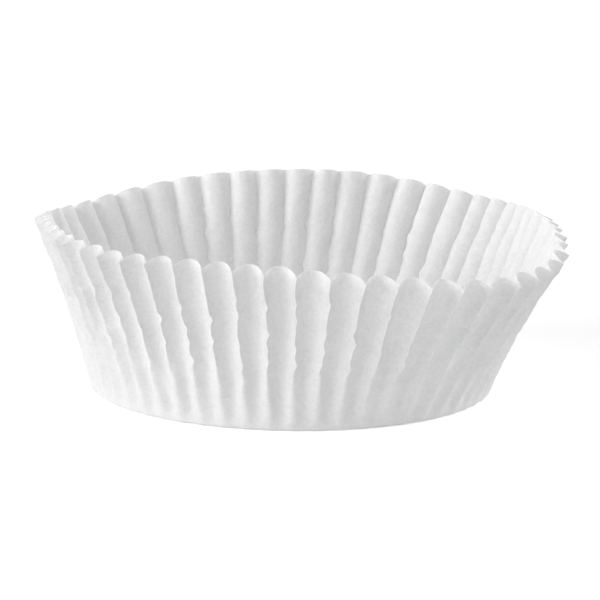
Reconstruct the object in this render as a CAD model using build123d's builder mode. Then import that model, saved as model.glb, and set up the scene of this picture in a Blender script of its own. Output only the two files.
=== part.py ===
from build123d import *
import math
import os

# Fluted paper baking cup, millimetres. The base lies on Z = 0 and the cup's axis is Z.
# One round sheet of paper, pressed into a flat base and a wall of folds (flutes).

BASE_RADIUS = 38.1        # base corner, where the wall starts
WALL_SLANT = 33.2         # mean length of sheet from the base corner to the rim
PAPER = 0.12              # thickness of the paper
FLUTES = 57               # folds round the wall
FIRST_CREASE = -0.8       # azimuth of the first outer crease, degrees

LEAN = 23.8               # mean angle of the outer creases from upright, degrees
FLARE = 4.0               # the wall starts this much steeper than it ends, degrees
CORNER = 0.9              # rounding between base and wall
SCALLOP = 0.1             # depth of the flutes where they run out on the base
FOLD_RISE = 0.3           # inner folds leave the base a little inside its corner, so reach higher
LEAST_STRETCH = 1.01      # sheet over chord of the shallowest flute
MOST_STRETCH = 1.42       # and of the deepest, where its sides nearly touch the next ones

# How the soft wall has been pulled out of round: waves per turn, degrees, azimuth of a crest.
LEAN_WAVES = ((1, 3.9, -46), (2, 3.4, -23), (3, 3.6, 38), (4, 5.6, 50), (5, 0.8, -7))
SKEW_WAVES = ((1, 2.1, -116), (2, 0.9, -14), (3, 1.0, -6), (4, 1.4, 27))

# The base corner isn't quite round, so the wall's length varies: waves per turn, mm, crest.
SLANT_WAVES = ((2, 0.9, 64), (3, 0.6, -23))

# Level lines of the wall, as a part of the slant. The flutes deepen fastest near the corner.
LEVELS = (0.03, 0.08, 0.16, 0.3, 0.5, 0.74, 1.0)


def wave_sum(waves, azimuth):
    """Sum of the cosine waves at an azimuth in degrees."""
    return sum(size * math.cos(math.radians(order * (azimuth - crest))) for order, size, crest in waves)


def slant_at(index, level):
    """Sheet from the base corner up to a level, at a crease or, half an index on, at a fold."""
    azimuth = FIRST_CREASE + index * 360 / FLUTES
    return level * (WALL_SLANT + wave_sum(SLANT_WAVES, azimuth))


def crease(index, level):
    """Point on an outer crease, where the sheet reaches a level of the wall."""
    azimuth = FIRST_CREASE + index * 360 / FLUTES
    slant = slant_at(index, level)
    flare = FLARE * (1 - level)
    lean = math.radians(LEAN + wave_sum(LEAN_WAVES, azimuth) - flare)
    skew = math.radians(wave_sum(SKEW_WAVES, azimuth))
    outward = Vector(1, 0).rotate(Axis.Z, azimuth)
    sideways = outward.rotate(Axis.Z, 90)
    reach = BASE_RADIUS + slant * math.cos(skew) * math.sin(lean)
    rise = slant * math.cos(skew) * math.cos(lean)
    return outward * reach + sideways * slant * math.sin(skew) + Vector(0, 0, rise)


def half_turn(stretch):
    """Half the angle, in radians, of the arc whose length is stretch times its chord."""
    low, high = 0.01, 3.0
    for _ in range(40):
        middle = (low + high) / 2
        if middle / math.sin(middle) < stretch:
            low = middle
        else:
            high = middle
    return low


def flute_turn(slant, chord):
    """Half angle of a flute's arc: the sheet neither stretches nor shrinks."""
    sheet = 2 * math.pi * (BASE_RADIUS + slant) / FLUTES
    return half_turn(min(max(sheet / chord, LEAST_STRETCH), MOST_STRETCH))


def plan(point):
    """The point's place seen from above."""
    return Vector(point.X, point.Y)


def mitre(slant, chord, inset):
    """How far inside the outer crease two neighbouring arcs meet, once both are moved by the inset."""
    turn = flute_turn(slant, chord)
    radius = chord / 2 / math.sin(turn)
    return math.sqrt((radius + inset) ** 2 - chord ** 2 / 4) - radius * math.cos(turn)


def level_line(level, inset):
    """Wire round the wall at one level: arcs bowed inwards between the creases."""
    creases = [crease(index, level) for index in range(FLUTES + 1)]
    slants = [slant_at(index + 0.5, level) for index in range(FLUTES)]
    chords = [plan(end - start).length for start, end in zip(creases, creases[1:])]
    moved = []
    for index in range(FLUTES):
        webs = [mitre(slants[side], chords[side], inset) for side in (index - 1, index)]
        moved.append(creases[index] - plan(creases[index]).normalized() * sum(webs) / 2)
    with BuildLine() as line:
        for index in range(FLUTES):
            turn = flute_turn(slants[index], chords[index])
            inward = plan(creases[index + 1] - creases[index]).rotate(Axis.Z, 90).normalized()
            middle = plan(creases[index] + creases[index + 1]) / 2
            fold = middle + inward * (chords[index] / 2 * math.tan(turn / 2))
            rise = math.sqrt(slants[index] ** 2 - (fold.length - BASE_RADIUS) ** 2) + FOLD_RISE * level
            fold = fold + inward * inset + Vector(0, 0, rise)
            ThreePointArc(moved[index], fold, moved[(index + 1) % FLUTES])
    return line.wires()[0]


def base_line(height):
    """Wire round the flat base, where the flutes run out in shallow scallops."""
    radius = BASE_RADIUS - CORNER
    with BuildLine() as line:
        for index in range(FLUTES):
            start, end = [
                Vector(radius, 0, height).rotate(Axis.Z, FIRST_CREASE + step * 360 / FLUTES)
                for step in (index, index + 1)
            ]
            middle = (start + end) / 2
            ThreePointArc(start, middle - plan(middle).normalized() * SCALLOP, end)
    return line.wires()[0]


os.makedirs("parts", exist_ok=True)

foot, floor = base_line(0), base_line(PAPER)
outside = [level_line(level, 0) for level in LEVELS]
inside = [level_line(level, PAPER) for level in LEVELS]

with BuildPart() as liner:
    skins = [
        Face(foot),
        Shell.make_loft([foot, outside[0]], ruled=True),
        Shell.make_loft(outside),
        Shell.make_loft([outside[-1], inside[-1]], ruled=True),
        Shell.make_loft(inside),
        Shell.make_loft([floor, inside[0]], ruled=True),
        Face(floor),
    ]
    add(Solid(Shell([face for skin in skins for face in skin.faces()])))

liner.part.label = "liner"
export_step(liner.part, "parts/liner.step")
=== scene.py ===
import math

import bpy
import numpy as np
from bpy.props import FloatProperty, FloatVectorProperty, IntProperty, PointerProperty
from mathutils import Matrix, Vector


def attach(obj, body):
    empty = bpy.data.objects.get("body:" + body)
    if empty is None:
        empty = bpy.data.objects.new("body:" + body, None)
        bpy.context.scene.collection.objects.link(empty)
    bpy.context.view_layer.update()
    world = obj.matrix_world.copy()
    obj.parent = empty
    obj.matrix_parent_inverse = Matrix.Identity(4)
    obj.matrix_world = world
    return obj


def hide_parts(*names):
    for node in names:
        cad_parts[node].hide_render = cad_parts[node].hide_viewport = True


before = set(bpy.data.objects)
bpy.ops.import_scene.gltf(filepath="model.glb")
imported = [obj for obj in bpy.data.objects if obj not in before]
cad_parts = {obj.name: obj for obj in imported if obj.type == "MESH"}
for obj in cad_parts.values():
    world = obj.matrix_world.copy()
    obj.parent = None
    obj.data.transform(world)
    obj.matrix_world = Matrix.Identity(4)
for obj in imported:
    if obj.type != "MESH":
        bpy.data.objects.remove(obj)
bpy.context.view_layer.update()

bl_info = {
    "name": "Paper Baking Cup",
    "version": (1, 0, 0),
    "blender": (4, 5, 0),
    "location": "3D View > Sidebar > Baking Cup",
    "description": "Builds a fluted paper baking cup and the table it stands on",
    "category": "Add Mesh",
}

MM = 0.001
SEED = 11
BOW = 2.4                # power of the curve of a fold: 2 is a parabola, more is rounder

# How the wall has been pulled out of round: waves per turn, degrees, azimuth of a crest.
LEAN_WAVES = ((1, 3.9, -46), (2, 3.4, -23), (3, 3.6, 38), (4, 5.6, 50), (5, 0.8, -7))
SKEW_WAVES = ((1, 2.1, -116), (2, 0.9, -14), (3, 1.0, -6), (4, 1.4, 27))

# The base corner isn't quite round, so the wall's length varies: waves per turn, mm, crest.
SLANT_WAVES = ((2, 0.9, 64), (3, 0.6, -23))
FOLD_RISE = 0.3 * MM     # inner folds leave the base inside its corner, so they reach higher

# Crumple lines round the wall: where on the slant, scatter, share of creases, depth in mm.
NICKS = ((0.77, 0.03, 0.65, 0.36), (0.66, 0.03, 0.8, 0.48), (0.54, 0.03, 0.7, 0.36),
         (0.43, 0.03, 0.85, 0.45), (0.30, 0.04, 0.75, 0.32))
FOOT = 2.5 * MM          # height over which the flutes grow out of the smooth edge of the base
NICK_SPREAD = 0.15       # how far a nick reaches from its crease, as a share of the flute


# ---------------------------------------------------------------- sizes and colours


class CupSizes(bpy.types.PropertyGroup):
    """Sizes of the baking cup."""

    base_radius: FloatProperty(
        name="Base radius", description="Radius of the corner between base and wall",
        default=38.1 * MM, min=0.005, unit="LENGTH")
    slant: FloatProperty(
        name="Wall slant", description="Mean length of sheet from the base corner to the rim",
        default=33.2 * MM, min=0.005, unit="LENGTH")
    paper: FloatProperty(
        name="Paper thickness", description="Thickness of the sheet",
        default=0.12 * MM, min=0.00002, unit="LENGTH")
    corner: FloatProperty(
        name="Corner rounding", description="Rounding between base and wall",
        default=0.9 * MM, min=0.0001, unit="LENGTH")
    flutes: IntProperty(
        name="Flutes", description="Folds round the wall", default=57, min=8, max=120)
    first_crease: FloatProperty(
        name="First crease", description="Azimuth of the first outer crease",
        default=math.radians(-0.8), unit="ROTATION")
    lean: FloatProperty(
        name="Lean", description="Mean angle of the creases from upright",
        default=math.radians(23.8), unit="ROTATION")
    flare: FloatProperty(
        name="Flare", description="How much steeper the wall starts than it ends",
        default=math.radians(4.0), unit="ROTATION")
    crumple: FloatProperty(
        name="Crumple", description="Strength of the small dents along the creases",
        default=1.0, min=0.0, max=3.0)


class PaperLook(bpy.types.PropertyGroup):
    """Colours of the paper."""

    colour: FloatVectorProperty(
        name="Paper", description="Colour of the plain sheet",
        default=(0.93, 0.93, 0.932), subtype="COLOR", size=3, min=0.0, max=1.0)
    thin: FloatVectorProperty(
        name="Thin paper", description="Colour where the sheet's fibres lie thin",
        default=(0.868, 0.868, 0.871), subtype="COLOR", size=3, min=0.0, max=1.0)


class StageLook(bpy.types.PropertyGroup):
    """Table, lamps and camera."""

    floor: FloatVectorProperty(
        name="Table", description="Colour of the table", default=(0.93, 0.93, 0.93),
        subtype="COLOR", size=3, min=0.0, max=1.0)
    sky: FloatProperty(
        name="Soft light", description="Strength of the even light all round", default=0.45, min=0.0)
    key: FloatProperty(
        name="Key light", description="Strength of the lamp on the left", default=2.1, min=0.0)
    fill: FloatProperty(
        name="Fill light", description="Strength of the lamp behind on the right", default=1.4, min=0.0)
    distance: FloatProperty(
        name="Camera distance", description="From the camera to the middle of the cup",
        default=0.6, min=0.05, unit="LENGTH")
    elevation: FloatProperty(
        name="Camera elevation", description="Angle of the camera above the table",
        default=math.radians(12.0), unit="ROTATION")


# ---------------------------------------------------------------- shape of the sheet


def wave_sum(waves, azimuth):
    """Sum of cosine waves at each azimuth, given in radians, in the waves' own unit."""
    turn = np.degrees(azimuth)
    return sum(size * np.cos(np.radians(order * (turn - crest))) for order, size, crest in waves)


def bow_depth(stretch):
    """Depth over half chord of the curve depth * (1 - across ** BOW) whose length is stretch times
    its chord: the lengths of a range of depths are summed up and read backwards."""
    across = np.linspace(0, 1, 201)
    depths = np.linspace(0, 2.5, 251)
    height = depths[:, None] * (1 - across ** BOW)
    length = np.hypot(np.diff(across), np.diff(height, axis=1)).sum(axis=1)
    return np.interp(stretch, length, depths)


def dents(size, slants, rng):
    """Sideways nick and inward dent of each crease at each slant, metres: bell curves along the
    crease, with some creases missing from each line of nicks."""
    aside = np.zeros((len(slants), size.flutes))
    inward = np.zeros_like(aside)
    for place, scatter, share, depth in NICKS:
        centre = (place + scatter * rng.normal(size=size.flutes)) * size.slant
        there = rng.random(size.flutes) < share
        strength = depth * MM * there * rng.uniform(0.5, 1.2, size.flutes)
        way = np.where(rng.random(size.flutes) < 0.75, 1.0, -0.7)
        width = rng.uniform(0.6, 1.0, size.flutes) * MM
        bell = np.exp(-((slants[:, None] - centre) / width) ** 2)
        aside += strength * way * bell
        inward += 0.3 * strength * bell
    return aside * size.crumple, inward * size.crumple


def crease_sway(size, slants, rng):
    """Slow sideways wander of each crease, metres: three sine waves along the slant, faded out at
    the foot."""
    sway = np.zeros((len(slants), size.flutes))
    for length in (19 * MM, 11 * MM, 6 * MM):
        phase = rng.uniform(0, 2 * math.pi, size.flutes)
        sway += 0.005 * length * np.sin(2 * math.pi * slants[:, None] / length + phase)
    return sway * np.clip(slants[:, None] / (8 * MM), 0, 1) * size.crumple


def ripple(rng, around, along, count, longest, shortest):
    """Smooth random relief from -1 to 1: a sum of plane waves with random directions, whole numbers
    of waves per turn, and random phases."""
    total = np.zeros(np.broadcast(around, along).shape)
    for _ in range(count):
        length = rng.uniform(shortest, longest)
        heading = rng.uniform(0, math.pi)
        waves = round(2 * math.pi * 45 * MM / length * math.cos(heading))
        total += np.cos(waves * around + 2 * math.pi * math.sin(heading) / length * along
                        + rng.uniform(0, 2 * math.pi))
    return total / math.sqrt(count)


def wall_rows(size, levels, samples):
    """Outer face of the wall as rows of points, one row for each level from 0 to 1.

    A crease leaves the base corner at its own lean and skew and is its own slant long. Between two creases
    the sheet bows inwards in a power curve as long as the flat sheet is there; low on the wall it
    turns into a cosine wave, so that the creases soften into the base. Every point of a row stays
    its slant away from the base corner, so the rim rises over the inner folds. Nicks move only
    the points near their crease."""
    rng = np.random.default_rng(SEED)
    index = np.arange(size.flutes)
    azimuth = size.first_crease + index * 2 * math.pi / size.flutes
    growth = levels[:, None]
    slants = levels * size.slant
    slant = growth * (size.slant + MM * wave_sum(SLANT_WAVES, azimuth))
    lean = size.lean + np.radians(wave_sum(LEAN_WAVES, azimuth)) - size.flare * (1 - growth)
    skew = np.radians(wave_sum(SKEW_WAVES, azimuth)) + np.zeros_like(growth)
    lean = lean + np.radians(0.4) * rng.normal(size=size.flutes) * growth
    skew = skew + np.radians(0.25) * rng.normal(size=size.flutes)
    nick, dent = dents(size, slants, rng)
    reach = size.base_radius + slant * np.cos(skew) * np.sin(lean)
    side = slant * np.sin(skew) + crease_sway(size, slants, rng)
    crease_x = reach * np.cos(azimuth) - side * np.sin(azimuth)
    crease_y = reach * np.sin(azimuth) + side * np.cos(azimuth)
    rise = slant * np.cos(skew) * np.cos(lean)

    after = np.roll(index, -1)
    chord_x = crease_x[:, after] - crease_x
    chord_y = crease_y[:, after] - crease_y
    chord = np.hypot(chord_x, chord_y)
    sheet = 2 * math.pi * (size.base_radius + (slant + slant[:, after]) / 2) / size.flutes
    stretch = np.clip(sheet / chord, 1.004, 1.5)
    depth = bow_depth(stretch) * chord / 2 * (1 + 0.05 * rng.normal(size=size.flutes))
    depth = depth * np.clip(slant / FOOT, 0, 1)

    step = np.arange(samples) / samples
    across = 2 * step - 1
    sharp = np.clip((growth - 0.15) / 0.45, 0, 1)[:, :, None]
    bow = sharp * (1 - np.abs(across) ** BOW) + (1 - sharp) * (1 + np.cos(math.pi * across)) / 2
    lift = FOLD_RISE * growth[:, :, None] * bow
    bow = depth[:, :, None] * bow
    along = chord[:, :, None] / 2 * across
    unit_x, unit_y = (chord_x / chord)[:, :, None], (chord_y / chord)[:, :, None]
    x = ((crease_x + crease_x[:, after]) / 2)[:, :, None] + unit_x * along - unit_y * bow
    y = ((crease_y + crease_y[:, after]) / 2)[:, :, None] + unit_y * along + unit_x * bow
    up = rise[:, :, None] * (1 - step) + rise[:, after][:, :, None] * step
    flat = (reach - size.base_radius)[:, :, None] * (1 - step)
    flat = flat + (reach[:, after] - size.base_radius)[:, :, None] * step
    out = np.hypot(x, y) - size.base_radius
    z = np.sqrt(np.maximum(up ** 2 + flat ** 2 - out ** 2, 0)) + lift
    before, behind = np.exp(-(step / NICK_SPREAD) ** 2), np.exp(-((1 - step) / NICK_SPREAD) ** 2)
    aside = nick[:, :, None] * before + nick[:, after][:, :, None] * behind
    inward = dent[:, :, None] * before + dent[:, after][:, :, None] * behind
    x = x + unit_x * aside - unit_y * inward
    y = y + unit_y * aside + unit_x * inward
    shape = (len(levels), size.flutes * samples)
    points = np.stack([x.reshape(shape), y.reshape(shape), z.reshape(shape)], axis=-1)

    turn_all = np.arctan2(points[:, :, 1], points[:, :, 0])
    relief = ripple(rng, turn_all, slants[:, None], 36, 7 * MM, 1.4 * MM)
    fade = np.clip(slants / (4 * MM), 0, 1)[:, None]
    points[:, :, :2] *= (1 + 0.075 * MM * relief * fade / size.base_radius)[:, :, None]
    return points


def base_rows(size, foot, rings):
    """Flat base from its centre out to the foot of the wall: rings of even angle that turn into the
    foot's scallops, with short pleats that run in from the corner and lift off the table."""
    share = np.linspace(0, 1, rings + 1)[1:-1]
    columns = foot.shape[0]
    azimuth = np.arctan2(foot[:, 1], foot[:, 0])
    reach = np.hypot(foot[:, 0], foot[:, 1])
    radius = share[:, None] ** 0.6 * reach
    pleat = 0.10 * MM * (0.5 - 0.5 * np.cos(size.flutes * (azimuth - size.first_crease)))
    lift = pleat * np.clip((radius - reach + 4 * MM) / (4 * MM), 0, 1) ** 2
    rows = np.stack([radius * np.cos(azimuth), radius * np.sin(azimuth),
                     np.broadcast_to(lift, radius.shape)], axis=-1)
    return rows.reshape(rings - 1, columns, 3)


def sheet_rows(size, samples, wall_count, rings):
    """Outer face of the whole sheet, from the base's inmost ring to the rim.

    The corner is a quarter round of three rows between the flat base and the wall."""
    lowest = size.corner / size.slant
    levels = lowest + (1 - lowest) * np.linspace(0, 1, wall_count) ** 1.15
    wall = wall_rows(size, levels, samples)
    first = wall[0]
    inward = first[:, :2] / np.hypot(first[:, 0], first[:, 1])[:, None]
    corner = []
    for part in (0.0, 0.35, 0.7):
        angle = part * math.pi / 2
        back = size.corner * (1 - math.sin(angle))
        lift = first[:, 2] * (1 - math.cos(angle))
        place = first[:, :2] - inward * back
        corner.append(np.column_stack([place, lift]))
    corner = np.stack(corner)
    base = base_rows(size, corner[0], rings)
    return np.concatenate([base, corner, wall])


def row_normals(rows):
    """Outward unit normals of a grid closed round its columns, from central differences."""
    around = np.roll(rows, -1, axis=1) - np.roll(rows, 1, axis=1)
    along = np.gradient(rows, axis=0)
    normal = np.cross(around, along)
    return normal / np.maximum(np.linalg.norm(normal, axis=-1, keepdims=True), 1e-12)


def grid_faces(start, row_count, columns, flipped):
    """Quads of a grid of rows closed round its columns."""
    row = np.arange(row_count - 1)[:, None] * columns + start
    column = np.arange(columns)
    after = (column + 1) % columns
    faces = np.stack([row + column, row + after, row + columns + after, row + columns + column], axis=-1)
    faces = faces.reshape(-1, 4)
    return faces[:, ::-1] if flipped else faces


def fan_faces(centre, start, columns, flipped):
    """Triangles from a centre point to a ring."""
    column = np.arange(columns)
    after = (column + 1) % columns
    faces = np.stack([np.full(columns, centre), start + after, start + column], axis=-1)
    return faces[:, ::-1] if flipped else faces


def closed_sheet(rows, thickness):
    """Vertices and faces of the sheet with both its faces, its rim and the two centre fans closed.
    The inner face is the outer one moved inwards along its normals by the thickness."""
    row_count, columns, _ = rows.shape
    inner = rows - row_normals(rows) * thickness
    inner[:, :, 2] = np.maximum(inner[:, :, 2], thickness)
    points = np.concatenate([rows.reshape(-1, 3), inner.reshape(-1, 3),
                             [[0, 0, 0], [0, 0, thickness]]])
    total = row_count * columns
    quads = np.concatenate([
        grid_faces(0, row_count, columns, False),
        grid_faces(total, row_count, columns, True),
        rim_faces(total - columns, 2 * total - columns, columns),
    ])
    fans = np.concatenate([
        fan_faces(2 * total, 0, columns, False),
        fan_faces(2 * total + 1, total, columns, True),
    ])
    return points, quads, fans


def rim_faces(outer, inner, columns):
    """Quads that join the rim of the outer face to the rim of the inner face."""
    column = np.arange(columns)
    after = (column + 1) % columns
    return np.stack([outer + column, outer + after, inner + after, inner + column], axis=-1)


def make_mesh(name, points, quads, fans):
    """Mesh object from arrays of points, quads and triangles, shaded smooth."""
    mesh = bpy.data.meshes.new(name)
    sizes = np.concatenate([np.full(len(quads), 4), np.full(len(fans), 3)])
    corners = np.concatenate([quads.ravel(), fans.ravel()])
    mesh.vertices.add(len(points))
    mesh.vertices.foreach_set("co", points.ravel().astype(np.float32))
    mesh.loops.add(len(corners))
    mesh.loops.foreach_set("vertex_index", corners.astype(np.int32))
    mesh.polygons.add(len(sizes))
    starts = np.concatenate([[0], np.cumsum(sizes)[:-1]])
    mesh.polygons.foreach_set("loop_start", starts.astype(np.int32))
    mesh.polygons.foreach_set("use_smooth", np.ones(len(sizes), bool))
    mesh.update(calc_edges=True)
    mesh.validate()
    piece = bpy.data.objects.new(name, mesh)
    bpy.context.scene.collection.objects.link(piece)
    return piece


def mark_sharp(piece, columns, samples, first_row, row_count):
    """Keeps the shading crisp along the outer creases and along the rim."""
    mesh = piece.data
    edges = np.empty(len(mesh.edges) * 2, np.int32)
    mesh.edges.foreach_get("vertices", edges)
    edges = edges.reshape(-1, 2)
    total = row_count * columns
    inside = (edges < 2 * total).all(axis=1)
    row, column = (edges % total) // columns, edges % columns
    same_skin = (edges[:, 0] // total) == (edges[:, 1] // total)
    on_crease = (column[:, 0] == column[:, 1]) & (column[:, 0] % samples == 0)
    on_crease &= (row >= first_row).all(axis=1) & same_skin
    on_rim = (row == row_count - 1).all(axis=1) & (column[:, 0] != column[:, 1])
    sharp = inside & (on_crease | on_rim)
    layer = mesh.attributes.get("sharp_edge") or mesh.attributes.new("sharp_edge", "BOOLEAN", "EDGE")
    layer.data.foreach_set("value", sharp)


# ---------------------------------------------------------------- materials


def new_material(name):
    """Material with an empty node tree and its output node."""
    material = bpy.data.materials.new(name)
    material.use_nodes = True
    material.node_tree.nodes.clear()
    return material, material.node_tree, material.node_tree.nodes.new("ShaderNodeOutputMaterial")


def noise(tree, scale, detail, rough, vector):
    """Noise texture on the piece's own coordinates."""
    node = tree.nodes.new("ShaderNodeTexNoise")
    node.inputs["Scale"].default_value = scale
    node.inputs["Detail"].default_value = detail
    node.inputs["Roughness"].default_value = rough
    tree.links.new(vector, node.inputs["Vector"])
    return node.outputs["Fac"]


def bump(tree, height, strength, distance, before=None):
    """Bump node over an earlier one."""
    node = tree.nodes.new("ShaderNodeBump")
    node.inputs["Strength"].default_value = strength
    node.inputs["Distance"].default_value = distance
    tree.links.new(height, node.inputs["Height"])
    if before:
        tree.links.new(before, node.inputs["Normal"])
    return node.outputs["Normal"]


def paper_material(look):
    """Matt greaseproof paper: cloudy fibres in colour and relief, and a little light through it."""
    material, tree, output = new_material("greaseproof_paper")
    place = tree.nodes.new("ShaderNodeTexCoord").outputs["Object"]
    clouds = noise(tree, 1700, 3, 0.6, place)
    blend = tree.nodes.new("ShaderNodeMix")
    blend.data_type = "RGBA"
    blend.inputs["A"].default_value = (*look.thin, 1)
    blend.inputs["B"].default_value = (*look.colour, 1)
    spread = tree.nodes.new("ShaderNodeMapRange")
    spread.inputs["From Min"].default_value = 0.3
    spread.inputs["From Max"].default_value = 0.6
    tree.links.new(clouds, spread.inputs["Value"])
    tree.links.new(spread.outputs["Result"], blend.inputs["Factor"])
    normal = bump(tree, noise(tree, 420, 3, 0.5, place), 0.4, 0.0003)
    normal = bump(tree, noise(tree, 2200, 2, 0.5, place), 0.45, 0.00012, normal)
    sheet = tree.nodes.new("ShaderNodeBsdfPrincipled")
    sheet.inputs["Roughness"].default_value = 0.72
    sheet.inputs["IOR"].default_value = 1.4
    tree.links.new(blend.outputs["Result"], sheet.inputs["Base Color"])
    tree.links.new(normal, sheet.inputs["Normal"])
    through = tree.nodes.new("ShaderNodeBsdfTranslucent")
    tree.links.new(blend.outputs["Result"], through.inputs["Color"])
    tree.links.new(normal, through.inputs["Normal"])
    mix = tree.nodes.new("ShaderNodeMixShader")
    mix.inputs["Fac"].default_value = 0.44
    tree.links.new(sheet.outputs["BSDF"], mix.inputs[1])
    tree.links.new(through.outputs["BSDF"], mix.inputs[2])
    tree.links.new(mix.outputs["Shader"], output.inputs["Surface"])
    return material


def seen_rays(tree):
    """1 for rays that show the background: from the camera, off gloss or through clear matter."""
    path = tree.nodes.new("ShaderNodeLightPath")
    total = path.outputs["Is Camera Ray"]
    for kind in ("Is Glossy Ray", "Is Transmission Ray"):
        most = tree.nodes.new("ShaderNodeMath")
        most.operation = "MAXIMUM"
        tree.links.new(total, most.inputs[0])
        tree.links.new(path.outputs[kind], most.inputs[1])
        total = most.outputs["Value"]
    return total


def table_material(colour):
    """Matt white table that the camera sees brighter, so that it runs into the white behind."""
    material, tree, output = new_material("white_table")
    cloth = tree.nodes.new("ShaderNodeBsdfDiffuse")
    cloth.inputs["Color"].default_value = (*colour, 1)
    glow = tree.nodes.new("ShaderNodeEmission")
    glow.inputs["Color"].default_value = (1, 1, 1, 1)
    share = tree.nodes.new("ShaderNodeMath")
    share.operation = "MULTIPLY"
    share.inputs[1].default_value = 0.40
    tree.links.new(seen_rays(tree), share.inputs[0])
    tree.links.new(share.outputs["Value"], glow.inputs["Strength"])
    both = tree.nodes.new("ShaderNodeAddShader")
    tree.links.new(cloth.outputs["BSDF"], both.inputs[0])
    tree.links.new(glow.outputs["Emission"], both.inputs[1])
    tree.links.new(both.outputs["Shader"], output.inputs["Surface"])
    return material


def white_world(strength):
    """Even light all round that the camera sees as plain white."""
    world = bpy.data.worlds.new("white_room")
    world.use_nodes = True
    tree = world.node_tree
    tree.nodes.clear()
    output = tree.nodes.new("ShaderNodeOutputWorld")
    seen = seen_rays(tree)
    level = tree.nodes.new("ShaderNodeMapRange")
    level.inputs["To Min"].default_value = strength
    level.inputs["To Max"].default_value = 1.0
    tree.links.new(seen, level.inputs["Value"])
    light = tree.nodes.new("ShaderNodeBackground")
    light.inputs["Color"].default_value = (1, 1, 1, 1)
    tree.links.new(level.outputs["Result"], light.inputs["Strength"])
    tree.links.new(light.outputs["Background"], output.inputs["Surface"])
    return world


# ---------------------------------------------------------------- operators


class BuildLiner(bpy.types.Operator):
    """Build the fluted paper cup as one closed sheet"""

    bl_idname = "baking_cup.liner"
    bl_label = "Paper cup"

    def execute(self, context):
        size = context.scene.cup_sizes
        samples, wall_count, rings = 12, 58, 7
        rows = sheet_rows(size, samples, wall_count, rings)
        points, quads, fans = closed_sheet(rows, size.paper)
        piece = make_mesh("paper_cup", points, quads, fans)
        columns = size.flutes * samples
        mark_sharp(piece, columns, samples, rings + 2 + wall_count * 2 // 5, rows.shape[0])
        piece.data.materials.append(paper_material(context.scene.paper_look))
        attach(piece, "root")
        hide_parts("liner")
        return {"FINISHED"}


class BuildStage(bpy.types.Operator):
    """Build the table, the lamps and the camera"""

    bl_idname = "baking_cup.stage"
    bl_label = "Table, lamps and camera"

    def execute(self, context):
        look = context.scene.stage_look
        build_table(look)
        build_lamps(look)
        build_camera(look)
        return {"FINISHED"}


def build_table(look):
    """Large flat table under the cup."""
    half = 3.0
    points = np.array([[-half, -half, 0], [half, -half, 0], [half, half, 0], [-half, half, 0]])
    table = make_mesh("table", points, np.array([[0, 1, 2, 3]]), np.zeros((0, 3), int))
    table.data.materials.append(table_material(look.floor))


def build_lamps(look):
    """A soft lamp low on the left, a weak one behind on the right, and even light all round."""
    add_lamp("key", look.key, Vector((-1.0, -0.5, 0.3)))
    add_lamp("fill", look.fill, Vector((1.0, 0.35, 0.3)))
    bpy.context.scene.world = white_world(look.sky)


def add_lamp(name, strength, toward):
    """Distant lamp with soft shadows, shining from the direction given."""
    lamp = bpy.data.lights.new(name, "SUN")
    lamp.energy = strength
    lamp.angle = math.radians(45)
    holder = bpy.data.objects.new(name, lamp)
    holder.location = toward
    holder.rotation_euler = (-toward).to_track_quat("-Z", "Y").to_euler()
    bpy.context.scene.collection.objects.link(holder)


def build_camera(look):
    """Long lens looking a little down into the cup from the near side."""
    data = bpy.data.cameras.new("camera")
    data.sensor_width = 36.0
    data.lens = 190.0
    data.shift_x = 0.0145
    data.shift_y = 0.018
    data.clip_start = 0.01
    camera = bpy.data.objects.new("camera", data)
    middle = Vector((0, 0, 0.014))
    back = Vector((0, -math.cos(look.elevation), math.sin(look.elevation)))
    place = Matrix.Translation(middle + back * look.distance)
    turn = Matrix.Rotation(math.pi / 2 - look.elevation, 4, "X")
    roll = Matrix.Rotation(math.radians(0.73), 4, "Z")
    camera.matrix_world = place @ turn @ roll
    bpy.context.scene.collection.objects.link(camera)
    bpy.context.scene.camera = camera


class CupPanel(bpy.types.Panel):
    """Lists the cup's sizes, its colours and its builders"""

    bl_idname = "VIEW3D_PT_baking_cup"
    bl_label = "Baking Cup"
    bl_space_type = "VIEW_3D"
    bl_region_type = "UI"
    bl_category = "Baking Cup"

    def draw(self, context):
        layout = self.layout
        for group in (context.scene.cup_sizes, context.scene.paper_look, context.scene.stage_look):
            box = layout.box()
            for name in group.__annotations__:
                box.prop(group, name)
        layout.operator("baking_cup.liner")
        layout.operator("baking_cup.stage")


CLASSES = (CupSizes, PaperLook, StageLook, BuildLiner, BuildStage, CupPanel)


def register():
    for cls in CLASSES:
        bpy.utils.register_class(cls)
    bpy.types.Scene.cup_sizes = PointerProperty(type=CupSizes)
    bpy.types.Scene.paper_look = PointerProperty(type=PaperLook)
    bpy.types.Scene.stage_look = PointerProperty(type=StageLook)


def unregister():
    del bpy.types.Scene.stage_look
    del bpy.types.Scene.paper_look
    del bpy.types.Scene.cup_sizes
    for cls in reversed(CLASSES):
        bpy.utils.unregister_class(cls)


def main():
    register()
    bpy.context.scene.view_settings.view_transform = "Standard"
    bpy.ops.baking_cup.stage()
    bpy.ops.baking_cup.liner()


if __name__ == "__main__":
    main()
